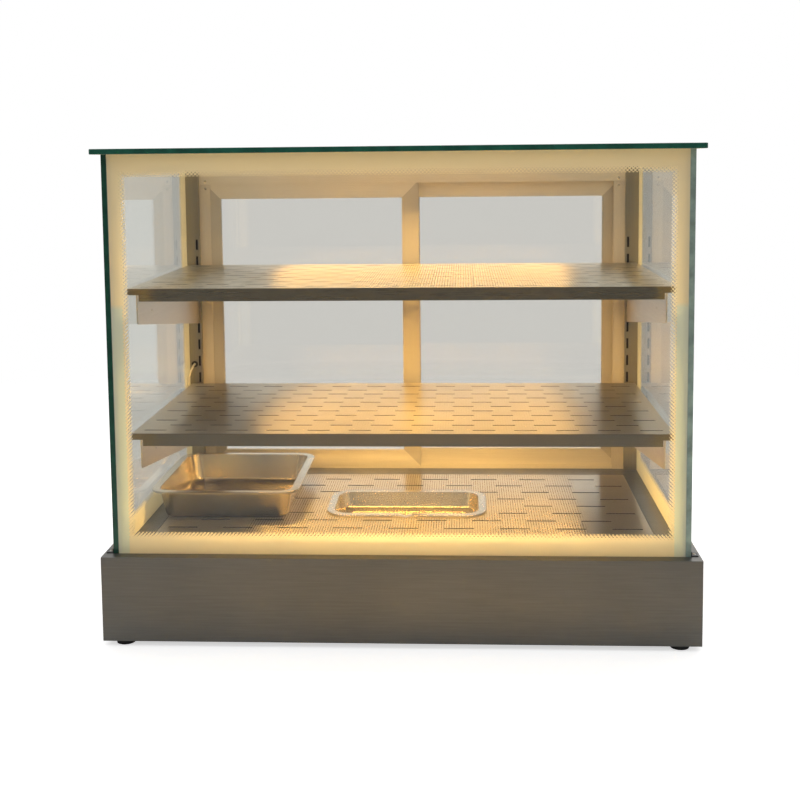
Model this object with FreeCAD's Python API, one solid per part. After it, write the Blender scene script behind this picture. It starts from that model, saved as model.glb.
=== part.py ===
import FreeCAD, Part
import math
import os
from FreeCAD import Vector

# Heated glass display case for hot food. Millimetres.
# X runs left to right seen from the front, Y from the front glass to the sliding doors, Z up.
# The origin is on the surface the case stands on, at the middle of its outline.

# ---------------------------------------------------------------- driving dimensions
WIDTH = 900.0
DEPTH = 600.0                      # base depth plus the knob that stands out behind it
FRONT = -DEPTH / 2                 # front face of the base
REAR = FRONT + 580.0               # rear face of the base
FOOT_HEIGHT = 8.0
BASE_TOP = 138.0
GLASS = 8.0                        # thickness of the fixed panes
CANOPY = 743.0                     # underside of the top glass
SHEET = 1.2                        # stainless sheet
TRAY_SHEET = 1.0
SIDE_IN = 427.6                    # inner face of a side pane, from the middle
PANE_FRONT = FRONT + 20.0
OVERHANG_FRONT = FRONT + 6.5       # front edge of the top glass

# deck opening in the base top
DECK_HALF = 398.0
DECK_FRONT = FRONT + 40.0
DECK_REAR = FRONT + 502.0
DECK_GAP = 1.0
DECK_SLOT = (49.0, 5.0)            # length, width
DECK_PITCH_X = 90.0
DECK_PITCH_Y = 43.6
DECK_FIRST_ROW = FRONT + 115.0
DECK_ROWS = 9

# shelves
SHELF_TOPS = {"upper": 536.0, "lower": 308.0}
SHELF_HALF = 421.5
SHELF_FRONT = FRONT + 93.0
SHELF_REAR = FRONT + 527.0
SHELF_LIP = 20.0
LIP_HALF = 404.0                   # the front lip is full height up to here
LIP_END = 10.0                     # height of the front lip beyond that
SHELF_SLOT = (36.0, 4.0)
SHELF_PITCH_X = 65.0
SHELF_PITCH_Y = 37.6
SHELF_FIRST_ROW = FRONT + 118.0
SHELF_ROWS = 11

# slotted uprights and brackets
UPRIGHT_IN = 403.0
UPRIGHT_OUT = 427.1
UPRIGHT_FRONT = FRONT + 537.0
UPRIGHT_WALL = 1.5
UPRIGHT_SLOT = (4.0, 19.5)         # width, height
SLOT_X = 408.0
SLOT_PITCH = 32.0
SLOT_FIRST = 222.0
SLOT_COUNT = 12
WEB_IN = 406.5                     # inner face of a bracket's web
WEB = 2.0
FLANGE_OUT = 421.0
BRACKET_FRONT = FRONT + 95.0
BRACKET_DEEP_FRONT = 56.0          # web's lower edge below the shelf top, at the front
BRACKET_DEEP_REAR = 113.0

# sliding doors and their frame
FRAME_FRONT = FRONT + 547.5
FRAME_REAR = FRONT + 576.0
FRAME_WALL = 1.5
JAMB_IN = 382.0
CHANNEL_BOTTOM = 398.0             # how far out the jambs' channels reach
HEADER_LOW = 688.0
HEADER_ROOF = 700.0                # roof of the header's channels
DOOR_THICK = 10.0
DOOR_TRACKS = {"left": FRONT + 550.0, "right": FRONT + 563.5}
DOOR_SPANS = {"left": (-394.5, 15.5), "right": (-15.5, 394.5)}
DOOR_LOW = 142.0
DOOR_HIGH = 692.0
MEMBER = 32.0                      # width of stiles and rails
DOOR_GLASS = 4.0
RIB_TOP = 144.0

# pans
FOOD_PAN = (248.0, 276.0, 50.0)    # over the rim in X, in Y, height
FOOD_PAN_AT = (-300.0, FRONT + 325.5)
WATER_PAN = (270.0, 158.0, 30.0)
WATER_PAN_AT = (1.0, FRONT + 292.5)
WATER_PAN_STAND = 5.0              # its rim stands this far above the deck
PAN_SHEET = 0.8
PAN_FLANGE = 12.0

# lighting
LIGHT_SPAN = (-262.0, 302.0)
LIGHT_WIDE = 16.0
LIGHT_TALL = 8.0
TOP_LIGHT_Y = FRONT + 470.0
SHELF_LIGHT_Y = FRONT + 225.0
LEAD_RADIUS = 2.0

LEAD_HOLE_X = 417.5
LEAD_HOLES = {"lower": 344.0, "upper": 505.0}
LEAD_GAP = 0.5                     # a lead stops this far short of the light's channel
WEB_HOLE = (FRONT + 508.0, 19.0, 4.5)   # place along the web, depth below the shelf top, radius
LOCK_HOLE = (FRONT + 182.0, 44.0, 2.5)
STRIP_WIDE = 10.0
STRIP_THICK = 1.2
LIGHT_WALL = 1.0

# base housing
BASE_RETURN = 42.0                 # depth of the panels' bottom returns
TOP_ROUND = 0.9
FLOOR_GAP = 0.3                    # between the bottom plate and the walls
VENT = (4.0, 45.0)                 # rear cooling slot: width, height
VENT_LOW = 45.0
VENT_BANKS = (-220.0, 40.0)
VENT_COUNT = 9
VENT_PITCH = 14.0
FLOOR_VENT = (90.0, 5.0)
FLOOR_VENT_X = 250.0
FLOOR_VENT_Y = FRONT + 200.0
FLOOR_VENT_ROWS = 6
FLOOR_VENT_PITCH = 16.0
FOOT_X = 420.0
FOOT_INSET = 20.0                  # from the base's front or rear face
FOOT_RADII = (14.0, 15.5)          # at the floor, at the base
FOOT_RECESS = (5.0, 3.0)           # radius, depth
FOOT_SHANK = 2.0
FOOT_HEAD = (4.2, 2.0)             # radius, thickness
LEDGE_UNDER = 14.0                 # how far the ledges reach under the deck plate
LEDGE_BEYOND = 12.0
PAN_HOLE_CORNER = 28.0
PAN_HOLE_PLAY = 2.0
SLOT_EDGE = 8.0                    # least metal between a deck slot and the plate's edge

# heater under the deck
TRAY_HALF = 370.0
TRAY_FRONT = FRONT + 70.0
TRAY_REAR = FRONT + 478.0
TRAY_FLOOR = 85.0
TRAY_RIM = 20.0
INSULATION = 25.0
HEATER_Z = 97.0
HEATER_RADIUS = 4.0
HEATER_ROWS = [FRONT + 150.0, FRONT + 235.0, FRONT + 320.0, FRONT + 405.0]
HEATER_TURN_X = 280.0
HEATER_TAIL = 12.0                 # length of each end outside the tray
CLAMPS_X = (-200.0, 200.0)
CLAMP = (12.0, 16.0, 6.0)          # along X, along Y, height above the element's middle

# controls on the rear of the base
PLATE = 1.5
CONTROLS_X = 330.0
CONTROLS_Z = 76.0
PLATE_SIZE = (168.0, 68.0)
PLATE_CORNER = 4.0
PLATE_HOLE = (144.0, 48.0)         # opening in the base behind the plate
PLATE_SCREWS = (76.0, 27.0)        # from the plate's middle
KNOB_X = CONTROLS_X - 50.0
KNOB_RADII = (19.0, 16.5)
KNOB_GAP = 0.5
KNOB_GRIPS = 24
SHAFT = 3.0
NECK = 5.0
STAT_SIZE = (36.0, 30.0, 40.0)
STAT_DEEP = 6.0                    # from the base's rear face to the thermostat's case
BULB = (4.0, 80.0)                 # radius, length
BULB_AT = (60.0, TRAY_REAR + 6.0, 110.0)
CAPILLARY = 1.0
HEAT_SWITCH_X = CONTROLS_X + 5.0
LIGHT_SWITCH_X = CONTROLS_X + 35.0
SWITCH_FLANGE = (21.4, 30.4, 2.0)  # width, height, thickness
SWITCH_BODY = (19.0, 27.4, 20.0)
SWITCH_POCKET = (15.8, 22.8, 6.0)
SWITCH_PLAY = 0.2
ROCKER = (15.0, 20.6)              # width, height
ROCKER_TILT = 8.0
PIN = 1.4
LAMP_X = CONTROLS_X + 62.0
LAMP = (6.0, 4.6, 3.0)             # radii of the lens, its height
LAMP_STEM = (4.5, 22.0)
GLAND_X = -390.0
GLAND_Z = 55.0
GLAND_BORE = 4.0
GLAND_HEX = 12.0
GLAND_DOME = (9.4, 6.6, 10.0)
GLAND_THREAD = 7.9
TERMINALS = (80.0, 24.0, 22.0)
TERMINALS_AT = (-340.0, REAR - 60.0)
TERMINAL_WAYS = 6
DRIVER = (160.0, 44.0, 32.0)
DRIVER_AT = (-180.0, REAR - 74.0)

# small fixings
GLASS_PLAY = 0.5                   # silicone between the front pane and a side pane
TOP_CORNER = 4.0
TOP_CHAMFER = 0.8
CLIP = (15.0, 11.0, 7.0, 1.5)      # along the pane, out, up, thickness
GLIDE = (30.0, 4.8, 8.0)
GLIDE_X = 70.0                     # from the door's ends
PULL = (16.0, 80.0, 2.4)
PULL_LOW = 375.0
PULL_X = 22.5                      # from the door's end
GLASS_INSET = 24.0                 # the door glass starts this far inside the door
PAN_TOE = 10.0

CUT = 1.0                          # how far a cutter runs past what it cuts

os.makedirs("parts", exist_ok=True)


# ---------------------------------------------------------------- helpers
def box(x0, x1, y0, y1, z0, z1):
    return Part.makeBox(x1 - x0, y1 - y0, z1 - z0, Vector(x0, y0, z0))


def centred(x, z, size, y0, y1):
    """A box from y0 to y1 round a middle line: size is its width and height."""
    return box(x - size[0] / 2, x + size[0] / 2, y0, y1, z - size[1] / 2, z + size[1] / 2)


def rod(radius, start, direction, length):
    return Part.makeCylinder(radius, length, Vector(*start), Vector(*direction))


def prism(points, along):
    """Extrude a closed polygon of 3D points by a vector."""
    corners = [Vector(*p) for p in points]
    wire = Part.makePolygon(corners + [corners[0]])
    return Part.Face(wire).extrude(Vector(*along))


def fuse(shapes):
    return shapes[0].fuse(shapes[1:]).removeSplitter() if len(shapes) > 1 else shapes[0]


def rounded_rect(cx, cy, z, size_x, size_y, radius):
    """Closed wire of a rounded rectangle in a level plane."""
    hx, hy = size_x / 2, size_y / 2
    edges = []
    corners = [(1, 1, 0), (-1, 1, 90), (-1, -1, 180), (1, -1, 270)]
    ends = []
    for sx, sy, turn in corners:
        ccx, ccy = cx + sx * (hx - radius), cy + sy * (hy - radius)
        points = []
        for extra in (0, 45, 90):
            a = math.radians(turn + extra)
            points.append(Vector(ccx + radius * math.cos(a), ccy + radius * math.sin(a), z))
        ends.append(points)
    for index, points in enumerate(ends):
        edges.append(Part.Arc(*points).toShape())
        edges.append(Part.LineSegment(points[2], ends[(index + 1) % 4][0]).toShape())
    return Part.Wire(edges)


def rounded_plate(cx, cy, z0, z1, size_x, size_y, radius):
    face = Part.Face(rounded_rect(cx, cy, z0, size_x, size_y, radius))
    return face.extrude(Vector(0, 0, z1 - z0))


def slot_cutter(cx, cy, z0, z1, length, width):
    """A round-ended slot along X, as a cutter from z0 to z1."""
    return rounded_plate(cx, cy, z0, z1, length, width, width / 2 - 0.01)


def bent_tube(points, radius):
    """A round tube along straight runs joined by tangent arcs."""
    corners = [Vector(*p) for p in points]
    edges = []
    last = corners[0]
    for before, corner, after in zip(corners, corners[1:], corners[2:]):
        run_in, run_out = before - corner, after - corner
        half_turn = (math.pi - run_in.getAngle(run_out)) / 2
        reach = 0.45 * min(run_in.Length, run_out.Length)
        bend = reach / math.tan(half_turn)
        print("bend radius %.1f" % bend)
        start = corner + run_in.normalize() * reach
        end = corner + run_out.normalize() * reach
        to_centre = (run_in + run_out).normalize() * (bend / math.cos(half_turn) - bend)
        edges.append(Part.LineSegment(last, start).toShape())
        edges.append(Part.Arc(start, corner + to_centre, end).toShape())
        last = end
    edges.append(Part.LineSegment(last, corners[-1]).toShape())
    spine = Part.Wire(edges)
    section = Part.Wire(Part.makeCircle(radius, corners[0], corners[1] - corners[0]))
    tube = spine.makePipeShell([section], True, True)
    print("tube volume ratio %.3f" % (tube.Volume / (math.pi * radius ** 2 * spine.Length)))
    return tube


def both_sides(shape):
    """A shape and its mirror image across the middle plane."""
    return [shape, shape.mirror(Vector(0, 0, 0), Vector(1, 0, 0))]


def save(node, shapes):
    solids = []
    for shape in shapes if isinstance(shapes, list) else [shapes]:
        solids.extend(shape.Solids)
    whole = solids[0] if len(solids) == 1 else Part.makeCompound(solids)
    whole.exportStep("parts/" + node + ".step")


# ---------------------------------------------------------------- base housing
def base_panels():
    """Four folded panels: each an upright wall, a mitred top flange and a bottom return."""
    half = WIDTH / 2
    outer = [(-half, FRONT), (half, FRONT), (half, REAR), (-half, REAR)]
    inner = [(-DECK_HALF, DECK_FRONT), (DECK_HALF, DECK_FRONT), (DECK_HALF, DECK_REAR),
             (-DECK_HALF, DECK_REAR)]
    low_half, low_front, low_rear = half - BASE_RETURN, FRONT + BASE_RETURN, REAR - BASE_RETURN
    low_inner = [(-low_half, low_front), (low_half, low_front), (low_half, low_rear), (-low_half, low_rear)]
    names = ["base_front_panel", "base_right_panel", "base_rear_panel", "base_left_panel"]
    walls = [box(-half, half, FRONT, FRONT + SHEET, FOOT_HEIGHT, BASE_TOP - SHEET),
             box(half - SHEET, half, FRONT + SHEET, REAR - SHEET, FOOT_HEIGHT, BASE_TOP - SHEET),
             box(-half, half, REAR - SHEET, REAR, FOOT_HEIGHT, BASE_TOP - SHEET),
             box(-half, -half + SHEET, FRONT + SHEET, REAR - SHEET, FOOT_HEIGHT, BASE_TOP - SHEET)]
    for index, name in enumerate(names):
        after = (index + 1) % 4
        top = [outer[index], outer[after], inner[after], inner[index]]
        low = [outer[index], outer[after], low_inner[after], low_inner[index]]
        top_flange = prism([(x, y, BASE_TOP - SHEET) for x, y in top], (0, 0, SHEET))
        low_flange = prism([(x, y, FOOT_HEIGHT) for x, y in low], (0, 0, SHEET))
        for other, wall in enumerate(walls):
            if other != index:
                low_flange = low_flange.cut(wall)
        panel = fuse([walls[index], top_flange, low_flange])
        if name == "base_front_panel":
            rim = [e for e in panel.Edges
                   if e.BoundBox.YMax < FRONT + 0.01 and e.BoundBox.ZMin > BASE_TOP - 0.01]
            panel = panel.makeFillet(TOP_ROUND, rim)
        if name == "base_rear_panel":
            panel = panel.cut(together(rear_openings()))
        save(name, panel)


def together(shapes):
    return Part.makeCompound(shapes)


def rear_openings():
    """Control cut-out, gland hole and two banks of cooling slots."""
    y0, y1 = REAR - SHEET - CUT, REAR + CUT
    cutters = [centred(CONTROLS_X, CONTROLS_Z, PLATE_HOLE, y0, y1)]
    cutters.append(rod(GLAND_THREAD + 0.1, (GLAND_X, y0, GLAND_Z), (0, 1, 0), y1 - y0))
    wide, tall = VENT
    for bank in VENT_BANKS:
        for column in range(VENT_COUNT):
            x = bank + VENT_PITCH * column
            cutters.append(box(x - wide / 2, x + wide / 2, y0, y1, VENT_LOW, VENT_LOW + tall))
    return cutters


def base_floor():
    """Bottom plate with cooling slots, lying on the panels' returns."""
    z0 = FOOT_HEIGHT + SHEET
    edge = SHEET + FLOOR_GAP
    plate = box(-WIDTH / 2 + edge, WIDTH / 2 - edge, FRONT + edge, REAR - edge, z0, z0 + TRAY_SHEET)
    cutters = []
    for side in (-1, 1):
        for row in range(FLOOR_VENT_ROWS):
            y = FLOOR_VENT_Y + FLOOR_VENT_PITCH * row
            cutters.append(slot_cutter(side * FLOOR_VENT_X, y, z0 - CUT, z0 + TRAY_SHEET + CUT, *FLOOR_VENT))
    save("base_bottom_plate", plate.cut(together(cutters)))


def feet():
    """Rubber feet with a recessed screw each."""
    rubber, screws = [], []
    recess_radius, recess = FOOT_RECESS
    head_radius, head_thick = FOOT_HEAD
    head_low = recess - head_thick
    for x in (-FOOT_X, FOOT_X):
        for y in (FRONT + FOOT_INSET, REAR - FOOT_INSET):
            foot = Part.makeCone(*FOOT_RADII, FOOT_HEIGHT, Vector(x, y, 0))
            foot = foot.cut(rod(recess_radius, (x, y, -CUT), (0, 0, 1), recess + CUT))
            foot = foot.cut(rod(FOOT_SHANK + 0.2, (x, y, 0), (0, 0, 1), FOOT_HEIGHT))
            rubber.append(foot)
            head = rod(head_radius, (x, y, head_low), (0, 0, 1), head_thick)
            shank = rod(FOOT_SHANK, (x, y, recess), (0, 0, 1), FOOT_HEIGHT - recess)
            screws.append(head.fuse(shank).removeSplitter())
    save("rubber_feet", rubber)
    return screws


def deck_ledges():
    """Strips under the deck opening's edge: the deck plate lies on them."""
    z0, z1 = BASE_TOP - 2 * SHEET, BASE_TOP - SHEET
    y0, y1 = DECK_FRONT - LEDGE_BEYOND, DECK_REAR + LEDGE_BEYOND
    side = DECK_HALF - LEDGE_UNDER
    strips = both_sides(box(side, DECK_HALF + LEDGE_BEYOND, y0, y1, z0, z1))
    strips.append(box(-side, side, y0, DECK_FRONT + LEDGE_UNDER, z0, z1))
    strips.append(box(-side, side, DECK_REAR - LEDGE_UNDER, y1, z0, z1))
    save("deck_ledges", strips)


def deck_plate():
    """Slotted plate level with the base top, with the water pan's cut-out."""
    z0 = BASE_TOP - SHEET
    half = DECK_HALF - DECK_GAP
    plate = box(-half, half, DECK_FRONT + DECK_GAP, DECK_REAR - DECK_GAP, z0, BASE_TOP)
    px, py = WATER_PAN_AT
    hole_x = WATER_PAN[0] - 2 * PAN_FLANGE + PAN_HOLE_PLAY
    hole_y = WATER_PAN[1] - 2 * PAN_FLANGE + PAN_HOLE_PLAY
    cutters = [rounded_plate(px, py, z0 - CUT, BASE_TOP + CUT, hole_x, hole_y, PAN_HOLE_CORNER)]
    keep_x = WATER_PAN[0] / 2 + DECK_SLOT[0] / 2
    keep_y = WATER_PAN[1] / 2 + DECK_SLOT[1]
    columns = math.ceil(half / DECK_PITCH_X)
    for row in range(DECK_ROWS):
        y = DECK_FIRST_ROW + DECK_PITCH_Y * row
        offset = DECK_PITCH_X / 2 if row % 2 == 0 else 0.0
        for column in range(-columns, columns + 1):
            x = offset + DECK_PITCH_X * column
            past_edge = abs(x) + DECK_SLOT[0] / 2 > half - SLOT_EDGE
            under_pan = abs(x - px) < keep_x and abs(y - py) < keep_y
            if not past_edge and not under_pan:
                cutters.append(slot_cutter(x, y, z0 - CUT, BASE_TOP + CUT, *DECK_SLOT))
    save("deck_plate", plate.cut(together(cutters)))


# ---------------------------------------------------------------- heater and controls in the base
def heater_tray():
    """Open tray hung from the ledges, holding the element under the deck."""
    top = BASE_TOP - 2 * SHEET
    t = TRAY_SHEET
    inner = (-TRAY_HALF + t, TRAY_HALF - t, TRAY_FRONT + t, TRAY_REAR - t)
    shell = box(-TRAY_HALF, TRAY_HALF, TRAY_FRONT, TRAY_REAR, TRAY_FLOOR, top)
    shell = shell.cut(box(*inner, TRAY_FLOOR + t, top + CUT))
    flange = box(-TRAY_HALF - TRAY_RIM, TRAY_HALF + TRAY_RIM, TRAY_FRONT, TRAY_REAR, top - t, top)
    flange = flange.cut(box(*inner, top - t - CUT, top + CUT))
    tray = fuse([shell, flange])
    for y in (HEATER_ROWS[0], HEATER_ROWS[-1]):
        tray = tray.cut(rod(HEATER_RADIUS + 0.5, (TRAY_HALF - t - CUT, y, HEATER_Z), (1, 0, 0), t + 2 * CUT))
    save("heater_tray", tray)
    slab = box(-TRAY_HALF, TRAY_HALF, TRAY_FRONT, TRAY_REAR, TRAY_FLOOR - INSULATION, TRAY_FLOOR)
    save("insulation_slab", slab)


def heating_element():
    """One sheathed element in four rows, with both ends through the tray's right wall."""
    end_x = TRAY_HALF + HEATER_TAIL
    bend = (HEATER_ROWS[1] - HEATER_ROWS[0]) / 2
    edges = []
    x = end_x
    for index, y in enumerate(HEATER_ROWS):
        side = -1 if index % 2 == 0 else 1
        stop = end_x if index == len(HEATER_ROWS) - 1 else side * HEATER_TURN_X
        edges.append(Part.LineSegment(Vector(x, y, HEATER_Z), Vector(stop, y, HEATER_Z)).toShape())
        if index < len(HEATER_ROWS) - 1:
            tip = Vector(stop + side * bend, y + bend, HEATER_Z)
            following = Vector(stop, y + 2 * bend, HEATER_Z)
            edges.append(Part.Arc(Vector(stop, y, HEATER_Z), tip, following).toShape())
        x = stop
    spine = Part.Wire(edges)
    section = Part.Wire(Part.makeCircle(HEATER_RADIUS, Vector(end_x, HEATER_ROWS[0], HEATER_Z),
                                        Vector(-1, 0, 0)))
    save("heating_element", spine.makePipeShell([section], True, True))
    clamps = []
    half_x, half_y = CLAMP[0] / 2, CLAMP[1] / 2
    for x in CLAMPS_X:
        for y in HEATER_ROWS:
            low, high = TRAY_FLOOR + TRAY_SHEET, HEATER_Z + CLAMP[2]
            block = box(x - half_x, x + half_x, y - half_y, y + half_y, low, high)
            groove = rod(HEATER_RADIUS + 0.1, (x - half_x - CUT, y, HEATER_Z), (1, 0, 0), CLAMP[0] + 2 * CUT)
            clamps.append(block.cut(groove))
    save("heater_clamps", clamps)


def control_plate():
    """Plate behind which the thermostat, switches and lamp are fixed."""
    y0, y1 = REAR - CUT, REAR + PLATE + CUT
    plate = centred(CONTROLS_X, CONTROLS_Z, PLATE_SIZE, REAR, REAR + PLATE)
    corners = [e for e in plate.Edges if abs(e.BoundBox.YLength - PLATE) < 0.01]
    plate = plate.makeFillet(PLATE_CORNER, corners)
    cutters = [rod(NECK + SWITCH_PLAY, (KNOB_X, y0, CONTROLS_Z), (0, 1, 0), y1 - y0)]
    hole = (SWITCH_BODY[0] + 2 * SWITCH_PLAY, SWITCH_BODY[1] + 2 * SWITCH_PLAY)
    for x in (HEAT_SWITCH_X, LIGHT_SWITCH_X):
        cutters.append(centred(x, CONTROLS_Z, hole, y0, y1))
    cutters.append(rod(LAMP_STEM[0] + 0.1, (LAMP_X, y0, CONTROLS_Z), (0, 1, 0), y1 - y0))
    save("control_plate", plate.cut(together(cutters)))
    screws = []
    dx, dz = PLATE_SCREWS
    for x in (CONTROLS_X - dx, CONTROLS_X + dx):
        for z in (CONTROLS_Z - dz, CONTROLS_Z + dz):
            screws.append(domed_screw((x, REAR + PLATE, z), (0, 1, 0), 3.0))
    return screws


def domed_screw(at, outward, radius):
    """A low domed screw head with a cross recess, standing on a face."""
    out = Vector(*outward)
    base = Vector(*at)
    height = radius / 2
    ball = (radius ** 2 + height ** 2) / (2 * height)
    dome = Part.makeSphere(ball, base + out * (height - ball))
    head = Part.makeCylinder(radius, height, base, out).common(dome)
    arm, narrow, deep = radius * 1.1, 0.6, height * 0.7
    slot = Part.makeBox(arm, narrow, deep, Vector(-arm / 2, -narrow / 2, 0))
    cross = slot.fuse(Part.makeBox(narrow, arm, deep, Vector(-narrow / 2, -arm / 2, 0)))
    cross.Placement = FreeCAD.Placement(base + out * (height * 0.55), FreeCAD.Rotation(Vector(0, 0, 1), out))
    return head.cut(cross)


def thermostat():
    """Bulb thermostat behind the plate, with its shaft through it, and the knob."""
    wide, deep, tall = STAT_SIZE
    rear = REAR - STAT_DEEP
    body = centred(KNOB_X, CONTROLS_Z, (wide, tall), rear - deep, rear)
    y0 = REAR + PLATE + KNOB_GAP
    height = DEPTH / 2 - y0
    bore = 0.7 * height
    neck = rod(NECK, (KNOB_X, rear, CONTROLS_Z), (0, 1, 0), STAT_DEEP + PLATE)
    shaft = rod(SHAFT, (KNOB_X, REAR, CONTROLS_Z), (0, 1, 0), y0 + bore - CUT - REAR)
    save("thermostat_body", fuse([body, neck, shaft]))
    knob = Part.makeCone(*KNOB_RADII, height, Vector(KNOB_X, y0, CONTROLS_Z), Vector(0, 1, 0))
    face = y0 + height
    rim = [e for e in knob.Edges if e.BoundBox.YMin > face - 0.01]
    knob = knob.makeFillet(1.5, rim)
    grip, grip_ring, skirt = 1.7, KNOB_RADII[0] + 0.6, 3.0
    cutters = []
    for step in range(KNOB_GRIPS):
        a = math.tau * (step + 0.5) / KNOB_GRIPS
        x, z = KNOB_X + grip_ring * math.cos(a), CONTROLS_Z + grip_ring * math.sin(a)
        cutters.append(rod(grip, (x, y0 + skirt, z), (0, 1, 0), height))
    cutters.append(rod(SHAFT + 0.05, (KNOB_X, y0 - CUT, CONTROLS_Z), (0, 1, 0), bore + CUT))
    pointer, pointer_z = (1.6, 9.0), CONTROLS_Z + 9.5
    cutters.append(centred(KNOB_X, pointer_z, pointer, face - 1.0, face + CUT))
    save("thermostat_knob", knob.cut(together(cutters)))


def thermostat_bulb():
    """Sensing bulb clipped under the deck's rear edge, with its capillary."""
    x, y, z = BULB_AT
    radius, length = BULB
    end = x + length
    stat = REAR - STAT_DEEP - STAT_SIZE[1]
    route = [(end, y, z), (end + 50, y, z), (end + 100, y + 14, z - 6),
             (end + 130, y + 34, z - 12), (KNOB_X, stat - 16, z - 20), (KNOB_X, stat - 0.4, z - 22)]
    bulb = rod(radius, BULB_AT, (1, 0, 0), length)
    save("thermostat_bulb", bulb.fuse(bent_tube(route, CAPILLARY)))


def rocker_switch(prefix, x):
    """Save a rocker on two stub pins, and give back the snap-in housing that holds them."""
    y0, z0 = REAR + PLATE, CONTROLS_Z
    flange = centred(x, z0, SWITCH_FLANGE, y0, y0 + SWITCH_FLANGE[2])
    body = centred(x, z0, SWITCH_BODY, y0 - SWITCH_BODY[2], y0)
    housing = fuse([flange, body])
    housing = housing.cut(centred(x, z0, SWITCH_POCKET, y0 - SWITCH_POCKET[2], y0 + SWITCH_FLANGE[2] + CUT))
    pin_half = SWITCH_POCKET[0] / 2 + 1.1
    bearing = rod(PIN + 0.05, (x - pin_half - 0.2, y0, z0), (1, 0, 0), 2 * pin_half + 0.4)
    housing = housing.cut(bearing.common(box(x - 20, x + 20, y0 - 5, y0 + SWITCH_FLANGE[2] - 0.1, z0 - 5,
                                             z0 + 5)))
    tab, tab_long = (0.8, 4.8), 8.0
    for dx in (-5.0, 0.0, 5.0):
        low = y0 - SWITCH_BODY[2]
        housing = housing.fuse(centred(x + dx, z0, tab, low - tab_long, low))
    left, half = x - ROCKER[0] / 2, ROCKER[1] / 2
    back, crest, dip = y0 - 3.0, y0 + 3.4, y0 + 2.0
    outline = [(left, back, z0 - half), (left, back, z0 + half), (left, crest, z0 + half),
               (left, dip, z0), (left, crest, z0 - half)]
    rocker = prism(outline, (ROCKER[0], 0, 0))
    rocker = rocker.fuse(rod(PIN, (x - pin_half, y0, z0), (1, 0, 0), 2 * pin_half)).removeSplitter()
    rocker.rotate(Vector(x, y0, z0), Vector(1, 0, 0), ROCKER_TILT)
    save(prefix + "_switch_rocker", rocker)
    return housing


def small_electrics():
    """Indicator lamp, terminal block, LED driver and cable gland."""
    lens = Part.makeCone(*LAMP, Vector(LAMP_X, REAR + PLATE, CONTROLS_Z), Vector(0, 1, 0))
    stem_radius, stem_long = LAMP_STEM
    stem = rod(stem_radius, (LAMP_X, REAR - stem_long, CONTROLS_Z), (0, 1, 0), stem_long + PLATE)
    save("indicator_lamp", fuse([lens, stem]))
    floor = FOOT_HEIGHT + SHEET + TRAY_SHEET
    x, y = TERMINALS_AT
    wide, deep, tall = TERMINALS
    block = box(x, x + wide, y, y + deep, floor, floor + tall)
    pockets = []
    for way in range(TERMINAL_WAYS):
        for row in (1, 3):
            at = (x + wide * (way + 0.5) / TERMINAL_WAYS, y + deep * row / 4, floor + 14)
            pockets.append(rod(3.2, at, (0, 0, 1), tall))
    save("terminal_block", block.cut(together(pockets)))
    x, y = DRIVER_AT
    wide, deep, tall = DRIVER
    driver = box(x, x + wide, y, y + deep, floor, floor + tall)
    driver = driver.makeFillet(2.0, [e for e in driver.Edges if e.BoundBox.ZLength > tall - 1])
    save("led_driver", driver)
    hexagon = []
    for corner in range(6):
        a = math.radians(60 * corner + 30)
        hexagon.append((GLAND_X + GLAND_HEX * math.cos(a), REAR, GLAND_Z + GLAND_HEX * math.sin(a)))
    hex_thick, nut_thick, thread_long = 6.0, 4.0, 12.0
    nut = prism(hexagon, (0, hex_thick, 0))
    dome = Part.makeCone(*GLAND_DOME, Vector(GLAND_X, REAR + hex_thick, GLAND_Z), Vector(0, 1, 0))
    thread = rod(GLAND_THREAD, (GLAND_X, REAR - thread_long, GLAND_Z), (0, 1, 0), thread_long)
    back_nut = rod(11.0, (GLAND_X, REAR - SHEET - nut_thick, GLAND_Z), (0, 1, 0), nut_thick)
    gland = fuse([nut, dome, thread, back_nut])
    bore = rod(GLAND_BORE, (GLAND_X, REAR - thread_long - CUT, GLAND_Z), (0, 1, 0), 40)
    save("cable_gland", gland.cut(bore))


# ---------------------------------------------------------------- fixed glass
def fixed_glass():
    """Front, side and top panes, and the silicone that joins the front pane to the sides."""
    front_half = SIDE_IN - GLASS_PLAY
    save("front_glass", box(-front_half, front_half, PANE_FRONT, PANE_FRONT + GLASS, BASE_TOP, CANOPY))
    side = box(SIDE_IN, SIDE_IN + GLASS, PANE_FRONT, FRAME_REAR, BASE_TOP, CANOPY)
    right, left = both_sides(side)
    save("right_glass", right)
    save("left_glass", left)
    top = box(-WIDTH / 2, WIDTH / 2, OVERHANG_FRONT, REAR, CANOPY, CANOPY + GLASS)
    top = top.makeFillet(TOP_CORNER, [e for e in top.Edges if e.BoundBox.ZLength > GLASS - 0.1])
    rim = [e for e in top.Edges if e.BoundBox.ZLength < 0.01]
    save("top_glass", top.makeChamfer(TOP_CHAMFER, rim))
    y0 = PANE_FRONT + GLASS
    bead = 3.0
    joint = [(front_half, PANE_FRONT, BASE_TOP), (SIDE_IN, PANE_FRONT, BASE_TOP),
             (SIDE_IN, y0 + bead, BASE_TOP), (SIDE_IN - bead, y0, BASE_TOP), (front_half, y0, BASE_TOP)]
    save("glass_joints", both_sides(prism(joint, (0, 0, CANOPY - BASE_TOP))))


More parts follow.
